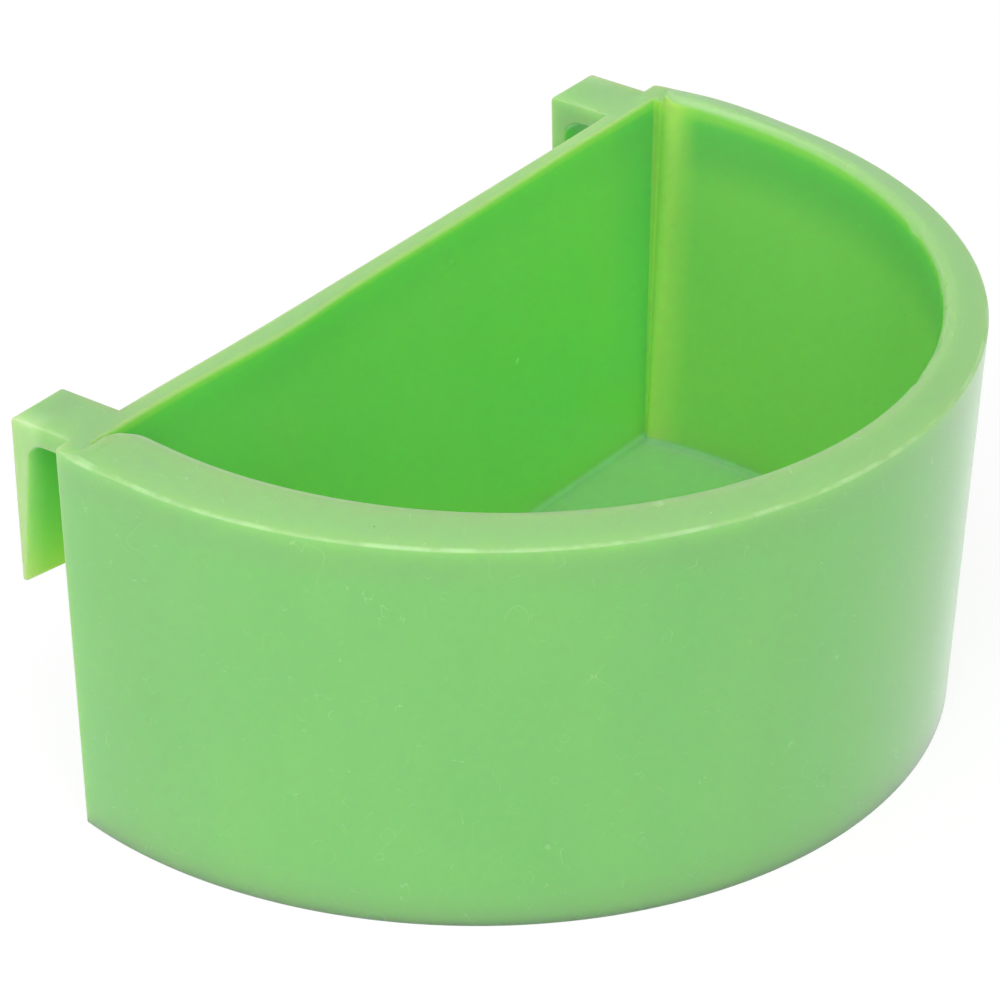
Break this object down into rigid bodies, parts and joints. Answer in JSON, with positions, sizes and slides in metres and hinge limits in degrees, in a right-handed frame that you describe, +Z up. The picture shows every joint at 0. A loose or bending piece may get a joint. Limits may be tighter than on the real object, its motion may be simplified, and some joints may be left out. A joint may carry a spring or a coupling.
{
  "type": "seed cup",
  "caption": "D-shaped moulded seed cup with a thick curved wall, a sloping rim and a thin flat back whose hooks hang over a cage wire.",
  "frame": {"origin": "on the axis of the curved wall, in the plane of the base", "axes": "+X along the flat back to the right as seen from the curved front, +Y from the curved front towards the flat back and the cage, +Z up from the base to the rim"},
  "size_m": [0.0874, 0.0603, 0.0379],
  "materials": {
    "cup_plastic": "satin, slightly translucent light green polypropylene"
  },
  "bodies": {
    "root": {"floor": "cup_plastic", "front_wall": "cup_plastic", "front_rim": "cup_plastic", "back_wall": "cup_plastic", "left_hook_arm": "cup_plastic", "right_hook_arm": "cup_plastic", "left_hook_tongue": "cup_plastic", "right_hook_tongue": "cup_plastic"}
  },
  "joints": []
}
